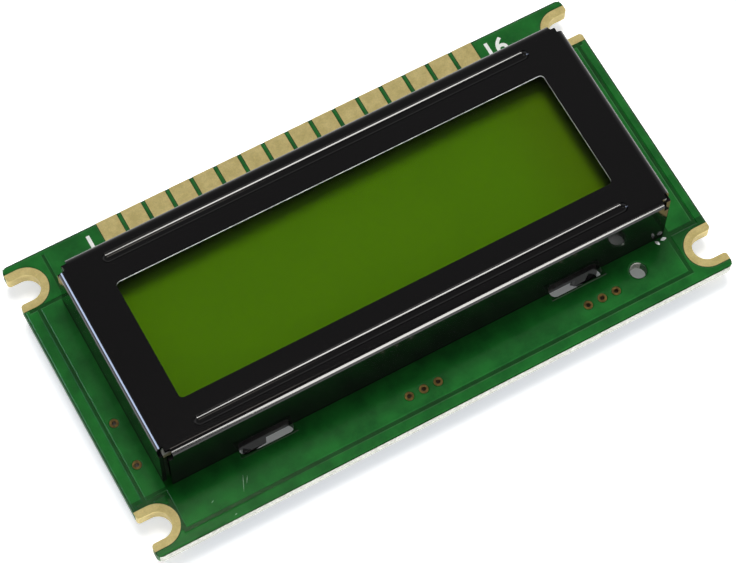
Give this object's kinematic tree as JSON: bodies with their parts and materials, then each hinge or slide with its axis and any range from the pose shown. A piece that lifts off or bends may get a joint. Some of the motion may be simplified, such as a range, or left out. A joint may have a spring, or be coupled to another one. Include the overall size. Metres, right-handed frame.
{
  "type": "character LCD module",
  "caption": "Character display module: black stamped bezel round a yellow-green glass cell with backlight, on a green slotted board with gold edge contacts.",
  "frame": {"origin": "middle of the board's outline in plan, on the plane that the bezel's locking tabs stand on", "axes": "+X along the board's long side, +Y towards the row of edge contacts, +Z out of the display's face"},
  "size_m": [0.06, 0.0322, 0.0097],
  "materials": {
    "solder_mask": "glossy green solder mask over glass-epoxy laminate",
    "gold_plate": "satin gold plating",
    "black_steel": "gloss black baked coating on stamped steel",
    "polarizer_front": "smooth polarizer film",
    "cell_glass": "clear display glass",
    "seal_epoxy": "cured epoxy seal",
    "polarizer_rear": "yellow-green reflective film",
    "elastomer": "layered silicone rubber",
    "diffuser": "frosted film",
    "white_moulding": "moulded white resin",
    "bare_laminate": "bare glass-epoxy laminate",
    "led_die": "bare semiconductor die",
    "tinned_wire": "tinned copper wire",
    "solder": "bright solder",
    "black_epoxy": "cured black encapsulant",
    "resistor_ceramic": "glazed black over ceramic",
    "tin_plate": "tinned end caps",
    "capacitor_ceramic": "matt tan ceramic"
  },
  "bodies": {
    "root": {"pcb": "solder_mask", "edge_contacts": "gold_plate", "slot_plating": "gold_plate", "vias": "gold_plate", "strip_contacts": "gold_plate", "bezel": "black_steel", "front_polarizer": "polarizer_front", "front_glass": "cell_glass", "cell_seal": "seal_epoxy", "rear_glass": "cell_glass", "rear_polarizer": "polarizer_rear", "strip_front": "elastomer", "strip_back": "elastomer", "diffuser_film": "diffuser", "backlight_reflector": "white_moulding", "backlight_board": "bare_laminate", "led_dice": "led_die", "backlight_leads": "tinned_wire", "lead_solder": "solder", "controller_blob": "black_epoxy", "driver_blob": "black_epoxy", "chip_resistors": "resistor_ceramic", "resistor_ends": "tin_plate", "chip_capacitors": "capacitor_ceramic", "capacitor_ends": "tin_plate"}
  },
  "joints": []
}
